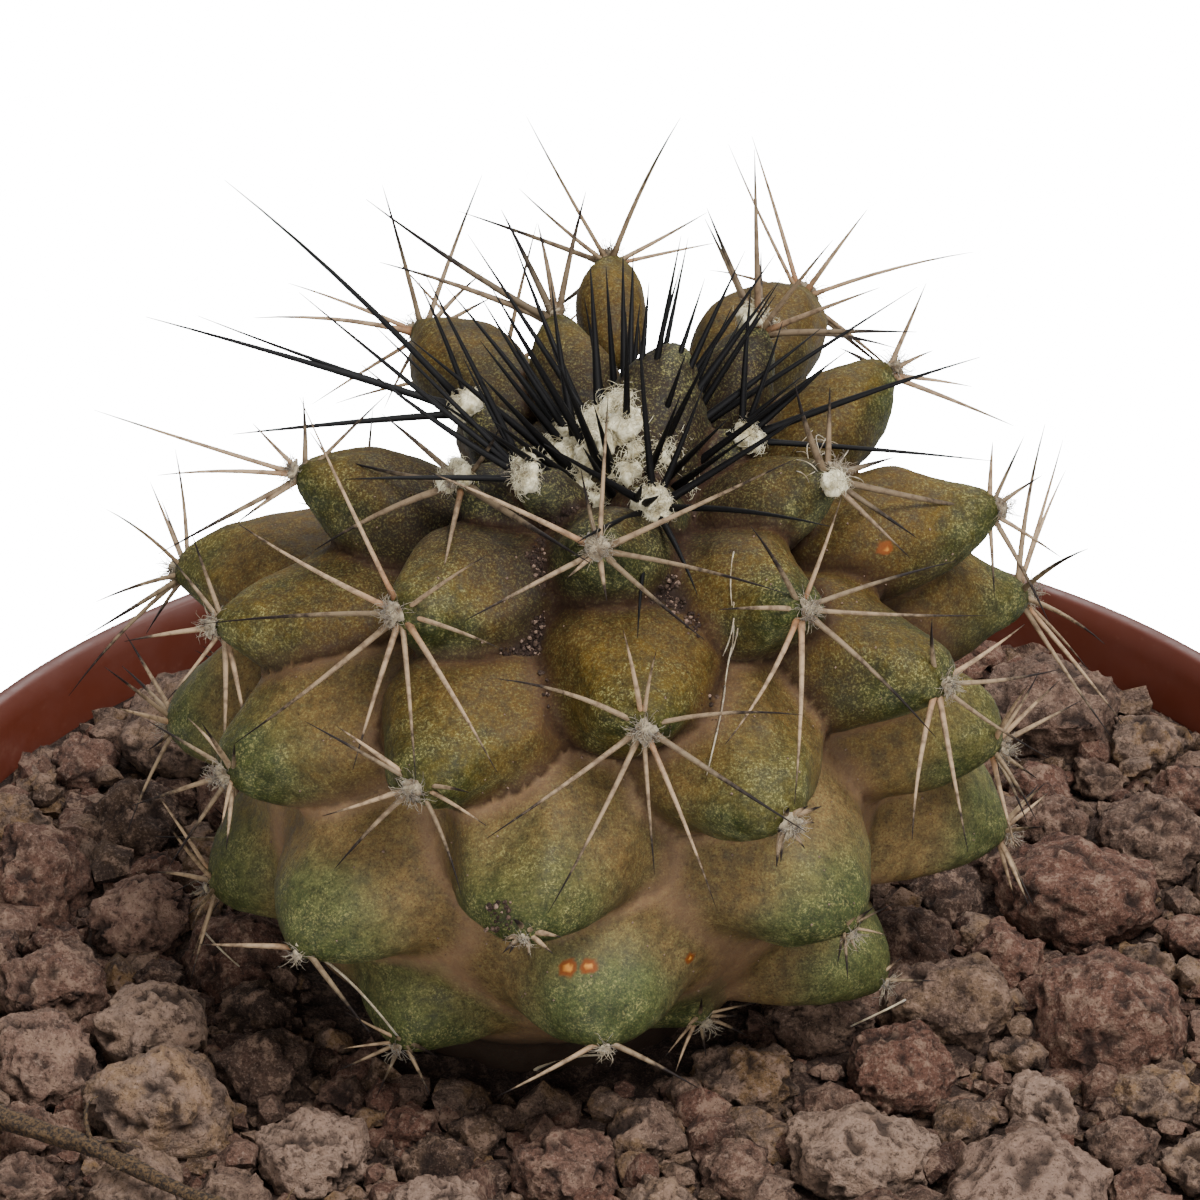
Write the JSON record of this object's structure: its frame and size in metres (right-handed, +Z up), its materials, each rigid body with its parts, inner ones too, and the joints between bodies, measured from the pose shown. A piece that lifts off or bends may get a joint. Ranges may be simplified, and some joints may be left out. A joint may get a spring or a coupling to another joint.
{
  "type": "copiapoa cactus in a pot",
  "caption": "Low round copiapoa cactus with spiny tubercles and a woolly crown, standing in lava grit in a tapered nursery pot.",
  "frame": {"origin": "centre of the pot's foot, on the surface that the pot stands on", "axes": "+Z up along the pot's axis; the plant's best side faces -Y"},
  "size_m": [0.065, 0.065, 0.0885],
  "materials": {
    "pot_plastic": "satin moulded plastic, dark terracotta brown",
    "cactus_skin": null,
    "crown_wool": "cream plant wool with black spines",
    "lava_grit": "rough porous lava, reddish and grey brown",
    "dry_root": "dry weathered twig"
  },
  "bodies": {
    "root": {"pot": "pot_plastic", "cactus": "cactus_skin", "crown_wool": "crown_wool", "gravel": "lava_grit", "dry_twig": "dry_root"}
  },
  "joints": []
}
